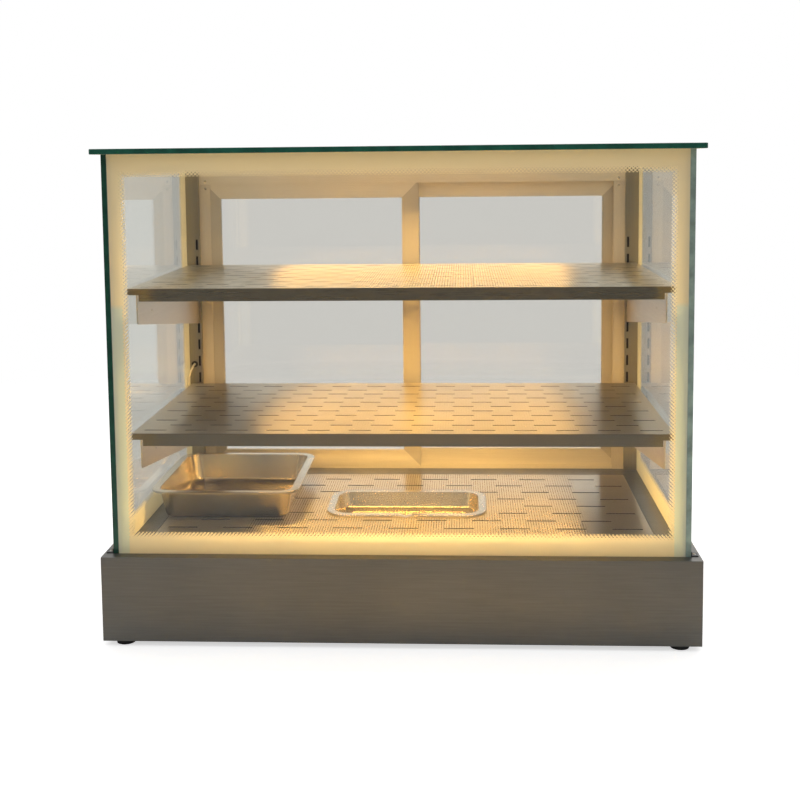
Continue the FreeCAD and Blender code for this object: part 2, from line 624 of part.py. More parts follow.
def pane_feet():
    """Small angle clips outside the side panes, screwed to the base top."""
    x0 = SIDE_IN + GLASS
    long, out, up, t = CLIP
    clips, screws = [], []
    for y in (PANE_FRONT + 1.0, FRAME_REAR - long - 1.0):
        wall = box(x0, x0 + t, y, y + long, BASE_TOP, BASE_TOP + up)
        sole = box(x0, x0 + out, y, y + long, BASE_TOP, BASE_TOP + t)
        clips.extend(both_sides(fuse([wall, sole])))
        at = (x0 + (out + t) / 2, y + long / 2, BASE_TOP + t)
        screws.extend(both_sides(domed_screw(at, (0, 0, 1), 2.6)))
    save("pane_foot_clips", clips)
    return screws


# ---------------------------------------------------------------- door frame and uprights
def channel_lips(z0, z1, x0, x1):
    """Front, middle and rear lip that make the two door channels."""
    lips = []
    for y in (FRAME_FRONT, (DOOR_TRACKS["left"] + DOOR_TRACKS["right"] + DOOR_THICK) / 2 - FRAME_WALL / 2,
              FRAME_REAR - FRAME_WALL):
        lips.append(box(x0, x1, y, y + FRAME_WALL, z0, z1))
    return lips


def door_frame():
    """Header and sill with two channels each, a jamb at each side, and the corner screws."""
    w = FRAME_WALL
    out = UPRIGHT_OUT
    hollow = box(-out - CUT, out + CUT, FRAME_FRONT + w, FRAME_REAR - w, HEADER_ROOF + w, CANOPY - w)
    header = box(-out, out, FRAME_FRONT, FRAME_REAR, HEADER_ROOF, CANOPY).cut(hollow)
    save("door_header", fuse([header] + channel_lips(HEADER_LOW, HEADER_ROOF, -out, out)))
    floor = box(-out, out, FRAME_FRONT, FRAME_REAR, BASE_TOP, BASE_TOP + w)
    parts = [floor]
    for y in (FRAME_FRONT, FRAME_REAR - w):
        parts.append(box(-JAMB_IN, JAMB_IN, y, y + w, BASE_TOP + w, BASE_TOP + 2 * w))
    for track in DOOR_TRACKS.values():
        middle = track + DOOR_THICK / 2
        rib_half, rib_end = 1.0, CHANNEL_BOTTOM - 1
        parts.append(box(-rib_end, rib_end, middle - rib_half, middle + rib_half, BASE_TOP + w, RIB_TOP))
    save("door_sill", fuse(parts))
    z0 = BASE_TOP + w
    post = box(CHANNEL_BOTTOM, out, FRAME_FRONT, FRAME_REAR, z0, HEADER_LOW)
    post = post.cut(box(CHANNEL_BOTTOM + w, out - w, FRAME_FRONT + w, FRAME_REAR - w, z0 - CUT,
                        HEADER_LOW + CUT))
    jamb = fuse([post] + channel_lips(z0, HEADER_LOW, JAMB_IN, CHANNEL_BOTTOM))
    right, left = both_sides(jamb)
    save("right_jamb", right)
    save("left_jamb", left)
    screws = []
    for x, z in ((JAMB_IN + 9, HEADER_LOW + 6), (JAMB_IN + 9, HEADER_LOW - 8), (JAMB_IN - 30, CANOPY - 18)):
        screws.extend(both_sides(domed_screw((x, FRAME_FRONT, z), (0, -1, 0), 2.4)))
    return screws


def uprights():
    """Slotted channels in the rear corners, and the grommets that the lighting leads use."""
    w = UPRIGHT_WALL
    rear = FRAME_FRONT
    top = CANOPY
    outside = box(UPRIGHT_IN, UPRIGHT_OUT, UPRIGHT_FRONT, rear, BASE_TOP, top)
    inner = (UPRIGHT_IN + w, UPRIGHT_OUT - w, UPRIGHT_FRONT + w, rear + CUT)
    channel = outside.cut(box(*inner, BASE_TOP - CUT, top + CUT))
    wide, tall = UPRIGHT_SLOT
    cutters = []
    for index in range(SLOT_COUNT):
        z = SLOT_FIRST + SLOT_PITCH * index
        cutters.append(box(SLOT_X - wide / 2, SLOT_X + wide / 2, UPRIGHT_FRONT - CUT, UPRIGHT_FRONT + w + CUT,
                           z - tall / 2, z + tall / 2))
    channel = channel.cut(together(cutters))
    save("right_upright", channel)
    left = channel.mirror(Vector(0, 0, 0), Vector(1, 0, 0))
    grommets = []
    neck, bead, bead_thick = 4.9, 6.0, 1.2
    y0 = UPRIGHT_FRONT
    for z in LEAD_HOLES.values():
        left = left.cut(rod(neck + 0.1, (-LEAD_HOLE_X, y0 - CUT, z), (0, 1, 0), w + 2 * CUT))
        ring = rod(neck, (-LEAD_HOLE_X, y0, z), (0, 1, 0), w)
        ring = ring.fuse(rod(bead, (-LEAD_HOLE_X, y0 - bead_thick, z), (0, 1, 0), bead_thick))
        ring = ring.fuse(rod(bead - 0.1, (-LEAD_HOLE_X, y0 + w, z), (0, 1, 0), bead_thick))
        ring = ring.cut(rod(LEAD_RADIUS + 0.1, (-LEAD_HOLE_X, y0 - 3, z), (0, 1, 0), 10))
        grommets.append(ring.removeSplitter())
    save("left_upright", left)
    save("lead_grommets", grommets)


# ---------------------------------------------------------------- brackets, shelves and lights
def bracket(shelf_top):
    """Right-hand bracket: web, outward flange with a rounded fold, and three hooks."""
    top = shelf_top - SHEET
    front, rear = BRACKET_FRONT, UPRIGHT_FRONT
    fold_out = 5.0
    fold_in = fold_out - WEB
    outline = [(WEB_IN, front, top - fold_out), (WEB_IN, front, shelf_top - BRACKET_DEEP_FRONT),
               (WEB_IN, rear, shelf_top - BRACKET_DEEP_REAR), (WEB_IN, rear, top - fold_out)]
    web = prism(outline, (WEB, 0, 0))
    lowest = shelf_top - BRACKET_DEEP_FRONT + 1
    corner = [e for e in web.Edges if e.BoundBox.YMax < front + 0.01 and e.BoundBox.ZMax < lowest
              and e.BoundBox.XLength > 1]
    web = web.makeFillet(8.0, corner)
    centre = (WEB_IN + fold_out, front, top - fold_out)
    fold = rod(fold_out, centre, (0, 1, 0), rear - front).cut(rod(fold_in, centre, (0, 1, 0), rear - front))
    fold = fold.common(box(WEB_IN, WEB_IN + fold_out, front, rear, top - fold_out, top))
    flange = box(WEB_IN + fold_out, FLANGE_OUT, front, rear - 4, top - WEB, top)
    hooks = []
    hook_up, neck_down, tab_down, tab = 4.0, 8.0, 15.0, 4.5
    middle = SLOT_FIRST + SLOT_PITCH * round((shelf_top - BRACKET_DEEP_FRONT - 2 - SLOT_FIRST) / SLOT_PITCH)
    behind = UPRIGHT_FRONT + UPRIGHT_WALL + 0.3
    for z in (middle - SLOT_PITCH, middle, middle + SLOT_PITCH):
        hooks.append(box(WEB_IN, WEB_IN + WEB, rear, behind, z - neck_down, z + hook_up))
        hooks.append(box(WEB_IN, WEB_IN + WEB, behind, behind + tab, z - tab_down, z + hook_up))
    shape = fuse([web, fold, flange] + hooks)
    for y, below, radius in (WEB_HOLE, LOCK_HOLE):
        shape = shape.cut(rod(radius, (WEB_IN - CUT, y, shelf_top - below), (1, 0, 0), WEB + 2 * CUT))
    return shape


def shelf(shelf_top):
    """Slotted sheet with four turned-down edges; the front lip is cut back at its ends."""
    t = SHEET
    low = shelf_top - SHELF_LIP
    sheet = box(-SHELF_HALF, SHELF_HALF, SHELF_FRONT, SHELF_REAR, shelf_top - t, shelf_top)
    front = box(-SHELF_HALF, SHELF_HALF, SHELF_FRONT, SHELF_FRONT + t, low, shelf_top - t)
    rear = box(-LIP_HALF, LIP_HALF, SHELF_REAR - t, SHELF_REAR, low, shelf_top - t)
    body = fuse([sheet, front, rear])
    rim = [e for e in body.Edges
           if e.BoundBox.YMax < SHELF_FRONT + 0.01 and e.BoundBox.ZMin > shelf_top - 0.01]
    body = body.makeFillet(TOP_ROUND, rim)
    for side in (-1, 1):
        inner, outer = sorted((side * LIP_HALF, side * (SHELF_HALF + CUT)))
        notch = box(inner, outer, SHELF_FRONT - CUT, SHELF_FRONT + t + 0.2, low - CUT, shelf_top - LIP_END)
        body = body.cut(notch)
    cutters = []
    columns = math.floor(SHELF_HALF / SHELF_PITCH_X)
    for row in range(SHELF_ROWS):
        y = SHELF_FIRST_ROW + SHELF_PITCH_Y * row
        offset = SHELF_PITCH_X / 2 if row % 2 else 0.0
        for column in range(-columns, columns + 1):
            x = offset + SHELF_PITCH_X * column
            if abs(x) < SHELF_HALF - SHELF_SLOT[0] / 2 - SLOT_EDGE:
                cutters.append(slot_cutter(x, y, shelf_top - t - CUT, shelf_top + CUT, *SHELF_SLOT))
    return body.cut(together(cutters))


def light(y, ceiling):
    """A shallow channel with a strip inside, hung from a flat ceiling."""
    x0, x1 = LIGHT_SPAN
    y0, y1 = y - LIGHT_WIDE / 2, y + LIGHT_WIDE / 2
    w = LIGHT_WALL
    channel = box(x0, x1, y0, y1, ceiling - LIGHT_TALL, ceiling)
    channel = channel.cut(box(x0 + w, x1 - w, y0 + w, y1 - w, ceiling - LIGHT_TALL - CUT, ceiling - w))
    half, roof = STRIP_WIDE / 2, ceiling - w
    strip = box(x0 + 2 * w, x1 - 2 * w, y - half, y + half, roof - STRIP_THICK, roof)
    return channel, strip


def shelving():
    channels, strips = [], []
    for level, top in SHELF_TOPS.items():
        right, left = both_sides(bracket(top))
        save(level + "_right_bracket", right)
        save(level + "_left_bracket", left)
        save(level + "_shelf", shelf(top))
        channel, strip = light(SHELF_LIGHT_Y, top - SHEET)
        channels.append(channel)
        strips.append(strip)
    channel, strip = light(TOP_LIGHT_Y, CANOPY)
    save("light_channels", channels + [channel])
    save("light_strips", strips + [strip])


def lighting_leads():
    """White leads from the left upright to the shelf lights."""
    x_hole, y_hole = -LEAD_HOLE_X, UPRIGHT_FRONT
    x_end, y_end = LIGHT_SPAN[0] - LEAD_GAP, SHELF_LIGHT_Y
    leads = []
    for level, top in SHELF_TOPS.items():
        z_hole = LEAD_HOLES[level]
        y_web = WEB_HOLE[0]
        z_web = top - WEB_HOLE[1]
        under = top - SHEET - LEAD_RADIUS - 0.4
        if level == "lower":
            start = [(x_hole, y_hole + 6, z_hole), (x_hole, y_hole - 9, z_hole),
                     (-423.2, y_hole - 22, 331), (-424.9, y_hole - 27, 312), (-424.9, y_hole - 29, 297),
                     (-418.5, y_web, z_web - 1)]
        else:
            start = [(x_hole, y_hole + 6, z_hole), (x_hole, y_hole - 12, z_hole),
                     (-417.5, y_web, z_web - 2)]
        route = start + [(-400.0, y_web - 1, z_web), (-384.0, y_web - 12, under - 4),
                         (-372.0, y_web - 34, under),
                         (-352.0, y_web - 88, under), (-330.0, y_web - 146, under),
                         (-316.0, y_end + 72, under), (-308.0, y_end + 22, under),
                         (-290.0, y_end + 1, under), (x_end, y_end, under)]
        leads.append(bent_tube(route, LEAD_RADIUS))
    save("light_leads", leads)


# ---------------------------------------------------------------- doors
def member(length):
    """Door profile along X from 0: outer edge at Z 0, inner edge at MEMBER, both ends mitred."""
    bar = box(0, length, 0, DOOR_THICK, 0, MEMBER)
    middle = DOOR_THICK / 2
    wall = 1.5
    hollows = [(middle - 2.5, middle + 2.5, -CUT, GLIDE[2]),
               (wall, DOOR_THICK - wall, GLIDE[2] + wall, GLASS_INSET - 1 - wall),
               (middle - 2.1, middle + 2.1, GLASS_INSET - 1, MEMBER + CUT)]
    for y0, y1, z0, z1 in hollows:
        bar = bar.cut(box(-CUT, length + CUT, y0, y1, z0, z1))
    far, tip = length + CUT, MEMBER + CUT
    ends = [[(-CUT, -CUT, -CUT), (tip, -CUT, tip), (-CUT, -CUT, tip)],
            [(far, -CUT, -CUT), (far, -CUT, tip), (length - tip, -CUT, tip)]]
    for end in ends:
        bar = bar.cut(prism(end, (0, DOOR_THICK + 2 * CUT, 0)))
    return bar


def turned(shape, axis, angle, shift):
    moved = shape.copy()
    moved.rotate(Vector(0, 0, 0), Vector(*axis), angle)
    moved.translate(Vector(*shift))
    return moved


def door(side):
    """One sliding door: mitred rails and stiles, glass, two glides and a recessed pull."""
    x0, x1 = DOOR_SPANS[side]
    y0 = DOOR_TRACKS[side]
    wide, tall = x1 - x0, DOOR_HIGH - DOOR_LOW
    rail = member(wide)
    save(side + "_door_rails", [turned(rail, (0, 0, 1), 0, (x0, y0, DOOR_LOW)),
                                turned(rail, (1, 0, 0), 180, (x0, y0 + DOOR_THICK, DOOR_HIGH))])
    stile = member(tall)
    save(side + "_door_stiles", [turned(stile, (0, 1, 0), 90, (x0, y0, DOOR_HIGH)),
                                 turned(stile, (0, 1, 0), -90, (x1, y0, DOOR_LOW))])
    middle = y0 + DOOR_THICK / 2
    save(side + "_door_glass", box(x0 + GLASS_INSET, x1 - GLASS_INSET, middle - DOOR_GLASS / 2,
                                   middle + DOOR_GLASS / 2, DOOR_LOW + GLASS_INSET, DOOR_HIGH - GLASS_INSET))
    glides = []
    long, thick, high = GLIDE
    groove = 1.2
    for x in (x0 + GLIDE_X, x1 - GLIDE_X):
        block = box(x - long / 2, x + long / 2, middle - thick / 2, middle + thick / 2, DOOR_LOW,
                    DOOR_LOW + high)
        glides.append(block.cut(box(x - long / 2 - CUT, x + long / 2 + CUT, middle - groove, middle + groove,
                                    DOOR_LOW - CUT, RIB_TOP)))
    save(side + "_door_glides", glides)
    pull_x = x0 + PULL_X if side == "left" else x1 - PULL_X
    y_back = y0 + DOOR_THICK
    wide, tall, thick = PULL
    plate = box(pull_x - wide / 2, pull_x + wide / 2, y_back, y_back + thick, PULL_LOW, PULL_LOW + tall)
    plate = plate.makeFillet(wide / 2 - 1, [e for e in plate.Edges if abs(e.BoundBox.YLength - thick) < 0.01])
    floor, edge = 0.8, 3.0
    deep = thick + CUT - floor
    dish = box(pull_x - wide / 2 + edge, pull_x + wide / 2 - edge, y_back + floor, y_back + floor + deep,
               PULL_LOW + 3 * edge, PULL_LOW + tall - 3 * edge)
    dish = dish.makeFillet(wide / 2 - edge - 0.5,
                           [e for e in dish.Edges if abs(e.BoundBox.YLength - deep) < 0.01])
    save(side + "_door_pull", plate.cut(dish))


# ---------------------------------------------------------------- pans
def pan_bowl(cx, cy, z_top, size_x, size_y, height, radius, taper, toe):
    """Tapered bowl with a rounded bottom edge, without a rim."""
    upper = rounded_rect(cx, cy, z_top, size_x, size_y, radius)
    lower = rounded_rect(cx, cy, z_top - height, size_x - 2 * taper, size_y - 2 * taper, radius)
    bowl = Part.makeLoft([lower, upper], True, True)
    bottom = [e for e in bowl.Edges if e.BoundBox.ZMax < z_top - height + 0.01]
    return bowl.makeFillet(toe, bottom)


def pan(size, at, rim_top, taper, corner, skirt_tall):
    """Pressed pan: tapered bowl, flat rim and a turned-down edge of the given height."""
    cx, cy = at
    wide, deep, height = size
    t = PAN_SHEET
    mouth_x, mouth_y = wide - 2 * PAN_FLANGE, deep - 2 * PAN_FLANGE
    inside = corner - PAN_FLANGE
    outer = pan_bowl(cx, cy, rim_top, mouth_x, mouth_y, height, inside, taper, PAN_TOE)
    inner = pan_bowl(cx, cy, rim_top, mouth_x - 2 * t, mouth_y - 2 * t, height - t, inside - t, taper,
                     PAN_TOE - t)
    flange = rounded_plate(cx, cy, rim_top - t, rim_top, wide, deep, corner)
    skirt = rounded_plate(cx, cy, rim_top - skirt_tall, rim_top - t, wide, deep, corner)
    low = rim_top - skirt_tall - CUT
    skirt = skirt.cut(rounded_plate(cx, cy, low, rim_top, wide - 2 * t, deep - 2 * t, corner - t))
    rim = fuse([flange, skirt])
    brim = [e for e in rim.Edges if e.BoundBox.ZMin > rim_top - 0.01]
    rim = rim.makeFillet(t - 0.1, brim)
    return fuse([outer, rim]).cut(inner)


def pouring_notch(bowl, at, size, rim_top):
    """Add a V-shaped trough across the middle of the front rim."""
    cx, cy = at
    edge = cy - size[1] / 2
    half, drop = 12.0, WATER_PAN_STAND - 0.3
    inner_half, inner_drop = half - 1.6, drop - 1.0
    outer = prism([(cx - half, edge, rim_top), (cx + half, edge, rim_top), (cx, edge, rim_top - drop)],
                  (0, PAN_FLANGE + 0.4, 0))
    inner = prism([(cx - inner_half, edge - 1, rim_top + 0.01), (cx + inner_half, edge - 1, rim_top + 0.01),
                   (cx, edge - 1, rim_top - inner_drop)], (0, PAN_FLANGE + 3.0, 0))
    return fuse([bowl, outer]).cut(inner)


def pans():
    save("food_pan", pan(FOOD_PAN, FOOD_PAN_AT, BASE_TOP + FOOD_PAN[2], 9.0, 34.0, 3.5))
    rim_top = BASE_TOP + WATER_PAN_STAND
    water_pan = pan(WATER_PAN, WATER_PAN_AT, rim_top, 6.0, 40.0, WATER_PAN_STAND)
    save("water_pan", pouring_notch(water_pan, WATER_PAN_AT, WATER_PAN, rim_top))


base_panels()
base_floor()
foot_screws = feet()
deck_ledges()
deck_plate()
heater_tray()
heating_element()
plate_screws = control_plate()
thermostat()
thermostat_bulb()
save("switch_housings", [rocker_switch("heater", HEAT_SWITCH_X), rocker_switch("light", LIGHT_SWITCH_X)])
small_electrics()
fixed_glass()
clip_screws = pane_feet()
save("base_screws", foot_screws + plate_screws + clip_screws)
save("frame_screws", door_frame())
uprights()
shelving()
lighting_leads()
door("left")
door("right")
pans()
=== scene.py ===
import math

import bmesh
import bpy
from mathutils import Matrix, Vector


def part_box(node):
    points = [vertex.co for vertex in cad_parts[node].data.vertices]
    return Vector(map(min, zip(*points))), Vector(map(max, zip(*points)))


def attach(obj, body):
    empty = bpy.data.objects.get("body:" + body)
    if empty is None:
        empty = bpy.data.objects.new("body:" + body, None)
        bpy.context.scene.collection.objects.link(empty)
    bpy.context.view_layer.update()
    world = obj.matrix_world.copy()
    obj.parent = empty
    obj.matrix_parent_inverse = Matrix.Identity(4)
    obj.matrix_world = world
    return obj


# Hot food display case: materials, light rows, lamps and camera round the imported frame. Metres.

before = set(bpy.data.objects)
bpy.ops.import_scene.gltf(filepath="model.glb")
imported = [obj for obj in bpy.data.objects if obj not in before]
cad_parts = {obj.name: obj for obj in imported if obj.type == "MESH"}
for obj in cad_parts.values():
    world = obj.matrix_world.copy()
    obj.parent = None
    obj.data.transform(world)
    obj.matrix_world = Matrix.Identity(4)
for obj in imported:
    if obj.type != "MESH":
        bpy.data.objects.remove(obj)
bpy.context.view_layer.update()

# ---------------------------------------------------------------- camera
CAMERA_AT = Vector((0.0977, -2.0735, 0.7292))
CAMERA_YAW = 2.935            # degrees towards -X
CAMERA_PITCH = -5.555
CAMERA_ROLL = -0.575
FOCAL_SHARE = 1.5306          # focal length over the frame's width
SENSOR = 36.0
SHIFT_Y = -0.15

# ---------------------------------------------------------------- light rows inside the case
LED_WARM = (1.0, 0.60, 0.18)
LED_PHOSPHOR = (0.9, 0.75, 0.35)
LED_GLOW = 5.0
LED_PITCH = 0.00417
LED_SIZE = (0.0028, 0.0035, 0.0007)
LED_DROP = 0.0022             # from the sheet or pane above to a chip's upper face
LAMP_DROP = 0.0082            # and to the lamp in the channel's mouth
LAMP_DEPTH = 0.010
CANOPY_BEAM = (4.1, -28.0, 140.0)     # watts, tilt, spread; tilted towards the front
SHELF_BEAM = (5.4, -2.0, 160.0)
STRIP_INSET = 0.003           # from the channel's end to the first chip
CHANNEL_HALF = 0.008
SHELF_SHEET = 0.0012

# ---------------------------------------------------------------- studio
ROOM_FRONT = 0.17
ROOM_BACK = 0.74
ROOM_ABOVE = 0.30
ROOM_TURN = 0.8               # how far the change from front to back reaches
WHITE = (1.0, 1.0, 1.0)
FLOOR_TONES = ((0.80, 0.80, 0.80), (0.84, 0.84, 0.84))
FLOOR_GLOW = 0.60
FLOOR_SOLID = 0.9             # radius of the solid part
FLOOR_REACH = 2.4
LAMP_TARGET = Vector((0, 0, 0.35))
SOFTBOXES = (                 # name, place, size, watts
    ("key", (-2.6, -2.4, 3.2), 2.4, 22.0),
    ("fill", (3.0, -1.8, 2.6), 2.4, 12.0),
    ("back", (0.4, 3.2, 3.0), 3.0, 25.0),
)

# ---------------------------------------------------------------- glass and its printed border
GREEN_DARK = (0.010, 0.080, 0.050)
GREEN_TOP = (0.012, 0.125, 0.080)
GREEN_PALE = (0.36, 0.48, 0.42)
CLEAR = (0.925, 0.935, 0.905)
DOOR_CLEAR = (0.955, 0.93, 0.90)
GLASS_IOR = 1.5
BORDER = 0.025
FRONT_BORDER_SIDE = 0.0165
SIDE_BORDER_LOW = 0.030
SIDE_BORDER_REAR = 0.074
TOP_BORDER_SIDE = 0.045
TOP_BORDER_FRONT = 0.042
TOP_BORDER_REAR = 0.060
FADE = 0.0085
DOT_PITCH = 0.0028
DOT_LIMITS = (-0.30, 0.40)    # chequer height above which a dot prints, from the solid print outwards
PRINT_TONES = ((0.80, 0.76, 0.58), (0.86, 0.82, 0.64))
# painted light: the print's tone in the strips that the warm lamps don't reach
PRINT_COOL_LIGHT = (0.68, 0.78, 0.72)
COOL_BLEND = 0.004
# painted glow: the print is no lamp, but is given a faint warm emission
PAINTED_PRINT_GLOW = 0.09
PAINTED_GLOW_COLOUR = (1.0, 0.72, 0.34)

# ---------------------------------------------------------------- metals
CLOUD_RANGE = (0.3, 0.7)
FINE_GRAIN = (900.0, 7.0)     # noise scale across and along the grooves
COARSE_GRAIN = (330.0, 14.0)
SATIN_GRAIN = (700.0, 6.0)
SCRATCHES = (90.0, 12.0)
CUT_INSET = 0.006             # the slots lie further in than this from the sheet's edges
# near-black painted shade, for the slots' walls and for the jambs' faces behind the uprights
PAINTED_SHADE_COLOUR = (0.012, 0.010, 0.008)
LIT_SPAN = (-0.262, 0.302)    # the light strips' reach across the case, within which their reflection stripes are painted
LIT_FADE = 0.012
# painted reflection of the LED chips: how dark and in what tone the stripes between them are painted
PAINTED_STRIPE_SHADE = 0.42
PAINTED_STRIPE_TONE = (0.62, 0.50, 0.34)
# painted dark reflection: how far and to what tone the sheets' front lips are darkened
LIP_PAINTED_SHADE = 0.75
LIP_PAINTED_TONE = (0.13, 0.10, 0.055)
# painted dark reflection on the food pan's outer front wall, darkest towards its foot
WALL_PAINTED_SHADE = 0.88
WALL_PAINTED_TONE = (0.06, 0.045, 0.025)
WALL_DEPTH = 0.05             # how far back from the pan's rim its front wall reaches
WALL_RIM = 0.006
WALL_HEIGHT = 0.045
UPRIGHT_WALL = 0.0015
PAN_STEEL = (0.78, 0.70, 0.55)

# ---------------------------------------------------------------- dial on the control plate
DIAL_TICKS = 24
DIAL_RING = (0.0215, 0.0255)
TICK_PHASE = 0.40
INK = (0.02, 0.02, 0.02)


# ---------------------------------------------------------------- node helpers
def rgba(colour):
    return (*colour, 1.0)


def scaled(colour, share):
    return tuple(c * share for c in colour)


class Nodes:
    """A node tree, with short calls to add and link nodes."""

    def __init__(self, tree):
        self.tree = tree
        tree.nodes.clear()

    def add(self, kind, inputs=None, **settings):
        made = self.tree.nodes.new("ShaderNode" + kind)
        for key, value in settings.items():
            setattr(made, key, value)
        for key, value in (inputs or {}).items():
            self.put(made.inputs[key], value)
        return made

    def put(self, socket, value):
        if isinstance(value, bpy.types.NodeSocket):
            self.tree.links.new(value, socket)
        else:
            socket.default_value = value

    def math(self, operation, a, b=0.0):
        return self.add("Math", {0: a, 1: b}, operation=operation).outputs[0]

    def split(self, vector):
        parts = self.add("SeparateXYZ", {0: vector})
        return parts.outputs[0], parts.outputs[1], parts.outputs[2]

    def spread(self, value, low_in, high_in, low_out, high_out):
        inputs = {0: value, 1: low_in, 2: high_in, 3: low_out, 4: high_out}
        return self.add("MapRange", inputs).outputs[0]

    def camera_ray(self):
        return self.add("LightPath").outputs["Is Camera Ray"]


class Shader(Nodes):
    """A material's node tree."""

    def __init__(self, name):
        self.material = bpy.data.materials.new(name)
        self.material.use_nodes = True
        super().__init__(self.material.node_tree)
        self.output = self.add("OutputMaterial")

    def place(self):
        """Position in the piece's own frame, which moves with its body."""
        return self.add("TexCoord").outputs["Object"]

    def normal(self, axis):
        return self.split(self.add("TexCoord").outputs["Normal"])[axis]

    def noise(self, vector, scale, detail=3.0, roughness=0.55):
        inputs = {"Vector": vector, "Scale": scale, "Detail": detail, "Roughness": roughness}
        return self.add("TexNoise", inputs).outputs["Fac"]

    def stretched_noise(self, vector, scales, detail, roughness):
        stretched = self.add("VectorMath", {0: vector, 1: scales}, operation="MULTIPLY").outputs[0]
        return self.noise(stretched, 1.0, detail, roughness)

    def grooves(self, place, along, scales, detail=3.0, roughness=0.55):
        """Noise drawn out along one axis. scales are across and along the grooves."""
        stretch = [scales[0]] * 3
        stretch[along] = scales[1]
        return self.stretched_noise(place, stretch, detail, roughness)

    def tint(self, factor, a, b):
        made = self.add("Mix", data_type="RGBA")
        self.put(made.inputs[0], factor)
        self.put(made.inputs[6], rgba(a) if isinstance(a, tuple) else a)
        self.put(made.inputs[7], rgba(b) if isinstance(b, tuple) else b)
        return made.outputs[2]

    def clouded(self, cloud, a, b):
        """From one colour to another where the noise is high."""
        return self.tint(self.spread(cloud, *CLOUD_RANGE, 0.0, 1.0), a, b)

    def bump(self, height, distance):
        return self.add("Bump", {"Height": height, "Distance": distance, "Strength": 1.0}).outputs[0]

    def principled(self, **inputs):
        names = {key.replace("_", " "): value for key, value in inputs.items()}
        return self.add("BsdfPrincipled", names).outputs[0]

    def clear(self, colour):
        return self.add("BsdfTransparent", {"Color": rgba(colour)}).outputs[0]

    def mix(self, factor, first, second):
        return self.add("MixShader", {0: factor, 1: first, 2: second}).outputs[0]

    def inside(self, value, lowest, highest):
        """How far a coordinate is inside two limits, in metres: negative beyond them."""
        return self.math("MINIMUM", self.math("SUBTRACT", value, lowest),
                         self.math("SUBTRACT", highest, value))

    def finish(self, shader):
        self.put(self.output.inputs[0], shader)
        return self.material


# ---------------------------------------------------------------- metals
def led_lines_and_painted_reflection(s, place, colour, base, rough, facing_up, depth):
    """Lines at the lights' pitch on upward faces within the strips' reach: stripes in roughness, and darker
    stripes in the colour that are a painted reflection of the LED chips; and a front lip darkened as a
    painted dark reflection.
    """
    x = s.split(place)[0]
    phase = s.math("SINE", s.math("MULTIPLY", x, math.tau / LED_PITCH))
    reach = s.math("MULTIPLY", facing_up, s.spread(s.inside(x, *LIT_SPAN), 0.0, LIT_FADE, 0.0, 1.0))
    rough = s.math("ADD", rough, s.math("MULTIPLY", s.math("MULTIPLY", phase, reach), depth))
    # painted reflection: the colour is darkened in stripes at the LED pitch within the strips' reach
    shade = s.math("MULTIPLY", s.spread(phase, -1.0, 1.0, PAINTED_STRIPE_SHADE, 0.0), reach)
    base = s.tint(shade, base, tuple(c * t for c, t in zip(colour, PAINTED_STRIPE_TONE)))
    # painted dark reflection: forward-facing faces, such as the front lip, are darkened
    forward = s.math("LESS_THAN", s.normal(1), -0.5)
    base = s.tint(s.math("MULTIPLY", forward, LIP_PAINTED_SHADE), base, LIP_PAINTED_TONE)
    return base, rough


def slot_walls(s, place, box, facing_up):
    """1 on the cut walls of a sheet's slots, which the caller paints near-black as shade."""
    corner, opposite = box
    x, y = s.split(place)[:2]
    within = s.math("MINIMUM", s.inside(x, corner.x + CUT_INSET, opposite.x - CUT_INSET),
                    s.inside(y, corner.y + CUT_INSET, opposite.y - CUT_INSET))
    return s.math("MULTIPLY", s.math("GREATER_THAN", within, 0.0), s.math("SUBTRACT", 1.0, facing_up))


def brushed(name, colour, along, roughness, anisotropy, depth, blotch, worn=0.0, streaks=0.08, lines=0.0,
            slotted=None):
    """Brushed sheet. The grooves run along one axis, so reflections spread across it.

    lines is the depth of the LED lines in roughness, and also turns on the painted reflection stripes and the
    painted dark front lip; slotted is the box of a slotted sheet, whose slot walls are painted dark as shade."""
    s = Shader(name)
    place = s.place()
    grain = s.grooves(place, along, FINE_GRAIN, 4.0, 0.65)
    bands = s.grooves(place, along, COARSE_GRAIN)
    cloud = s.noise(place, 5.0)
    base = s.clouded(cloud, scaled(colour, 1 - blotch), scaled(colour, 1 + blotch))
    base = s.tint(s.spread(grain, 0.25, 0.75, 0.0, 0.22), base, scaled(colour, 0.55))
    base = s.tint(s.spread(bands, 0.35, 0.75, 0.0, streaks), base, scaled(colour, 1.5))
    rough = s.spread(grain, 0.2, 0.8, roughness * 0.82, roughness * 1.2)
    if worn:
        smudge = s.noise(place, 14.0, 4.0, 0.6)
        rough = s.math("ADD", rough, s.spread(smudge, 0.45, 0.75, 0.0, worn))
    facing_up = s.math("GREATER_THAN", s.normal(2), 0.7)
    if lines:
        base, rough = led_lines_and_painted_reflection(s, place, colour, base, rough, facing_up, lines)
    metal = 1.0
    if slotted:
        # painted shade: the slot walls are painted near-black and made not metallic
        cut = slot_walls(s, place, slotted, facing_up)
        base = s.tint(cut, base, PAINTED_SHADE_COLOUR)
        metal = s.math("SUBTRACT", 1.0, cut)
    tangent = s.add("Tangent", direction_type="RADIAL", axis="XYZ"[along]).outputs[0]
    return s.finish(s.principled(Base_Color=base, Metallic=metal, Roughness=rough, Anisotropic=anisotropy,
                                 Tangent=tangent, Normal=s.bump(grain, depth)))


